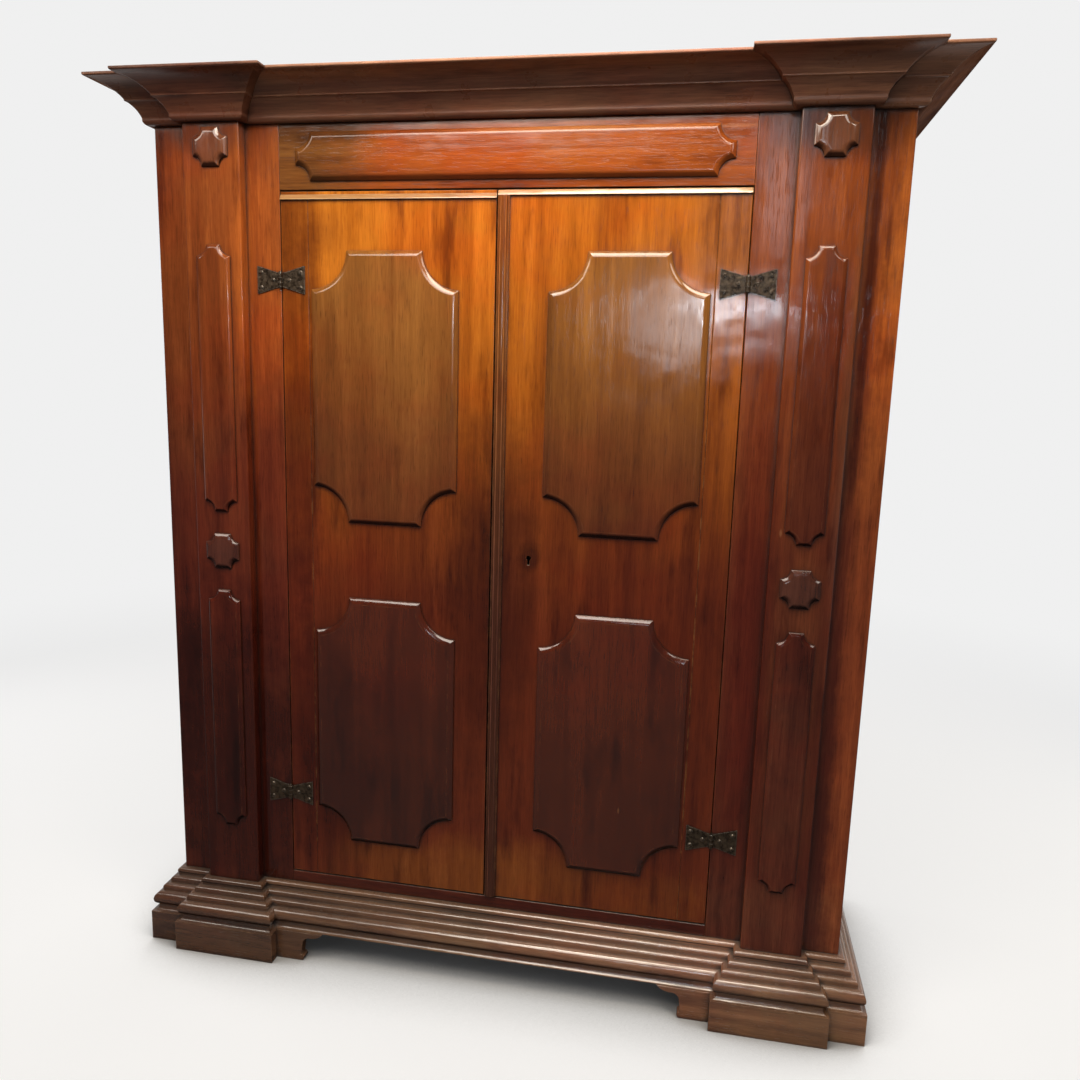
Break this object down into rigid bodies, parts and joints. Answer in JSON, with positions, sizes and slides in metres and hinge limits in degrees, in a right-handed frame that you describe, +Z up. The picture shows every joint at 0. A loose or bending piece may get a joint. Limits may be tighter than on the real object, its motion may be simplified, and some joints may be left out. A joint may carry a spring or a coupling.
{
  "type": "wardrobe",
  "caption": "Tall walnut wardrobe with raised-panel doors between pilasters, a moulded cornice and base that break forward, iron butterfly hinges, a shelf and a hanging rail.",
  "frame": {"origin": "on the floor, below the middle of the overall box", "axes": "+Z up, the doors face -Y, +X to the right of someone facing the doors"},
  "size_m": [1.942, 0.718, 2.19],
  "materials": {
    "walnut": "polished",
    "softwood": "matte",
    "iron": "satin"
  },
  "bodies": {
    "carcass": {"back_boards": "softwood", "base_back_rail": "softwood", "base_block_left": "walnut", "base_block_right": "walnut", "base_bracket_left": "walnut", "base_bracket_right": "walnut", "base_front_rail": "walnut", "base_return_left": "walnut", "base_return_right": "walnut", "base_side_left": "walnut", "base_side_right": "walnut", "bottom_rail": "walnut", "cornice_back_rail": "softwood", "cornice_block_left": "walnut", "cornice_block_right": "walnut", "cornice_front": "walnut", "cornice_return_left": "walnut", "cornice_return_right": "walnut", "cornice_side_left": "walnut", "cornice_side_right": "walnut", "floor_boards": "softwood", "frieze_panel": "walnut", "frieze_rail": "walnut", "front_stile_left": "walnut", "front_stile_right": "walnut", "hanging_rail": "softwood", "hinge_frame_leaves": "iron", "hinge_frame_nails": "iron", "hinge_pins": "iron", "pilaster_bosses": "walnut", "pilaster_left": "walnut", "pilaster_panels_left": "walnut", "pilaster_panels_right": "walnut", "pilaster_right": "walnut", "rail_sockets": "softwood", "shelf": "softwood", "shelf_cleats": "softwood", "side_boards_left": "walnut", "side_boards_right": "walnut", "top_boards": "softwood"},
    "left_door": {"left_door_battens": "softwood", "left_door_boards": "walnut", "left_door_hinge_leaves": "iron", "left_door_hinge_nails": "iron", "left_door_lower_panel": "walnut", "left_door_top_bead": "walnut", "left_door_upper_panel": "walnut", "lock_keeper": "iron", "bolt_guides": "iron"},
    "right_door": {"right_door_battens": "softwood", "right_door_boards": "walnut", "right_door_hinge_leaves": "iron", "right_door_hinge_nails": "iron", "right_door_lower_panel": "walnut", "right_door_top_bead": "walnut", "right_door_upper_panel": "walnut", "meeting_astragal": "walnut", "lock_case": "iron"},
    "lock_bolt": {"lock_bolt": "iron"},
    "door_bolt": {"door_bolt": "iron"}
  },
  "joints": [
    {"name": "left_door_hinge", "type": "hinge", "parent": "carcass", "child": "left_door", "pos_m": [-0.545, -0.2269, 1], "axis": [0, 0, -1], "range_deg": [0, 135]},
    {"name": "right_door_hinge", "type": "hinge", "parent": "carcass", "child": "right_door", "pos_m": [0.545, -0.2269, 1], "axis": [0, 0, 1], "range_deg": [0, 135]},
    {"name": "lock_bolt_slide", "type": "slide", "parent": "right_door", "child": "lock_bolt", "axis": [-1, 0, 0], "range_m": [0, 0.03]},
    {"name": "door_bolt_slide", "type": "slide", "parent": "left_door", "child": "door_bolt", "axis": [0, 0, 1], "range_m": [0, 0.026]}
  ]
}
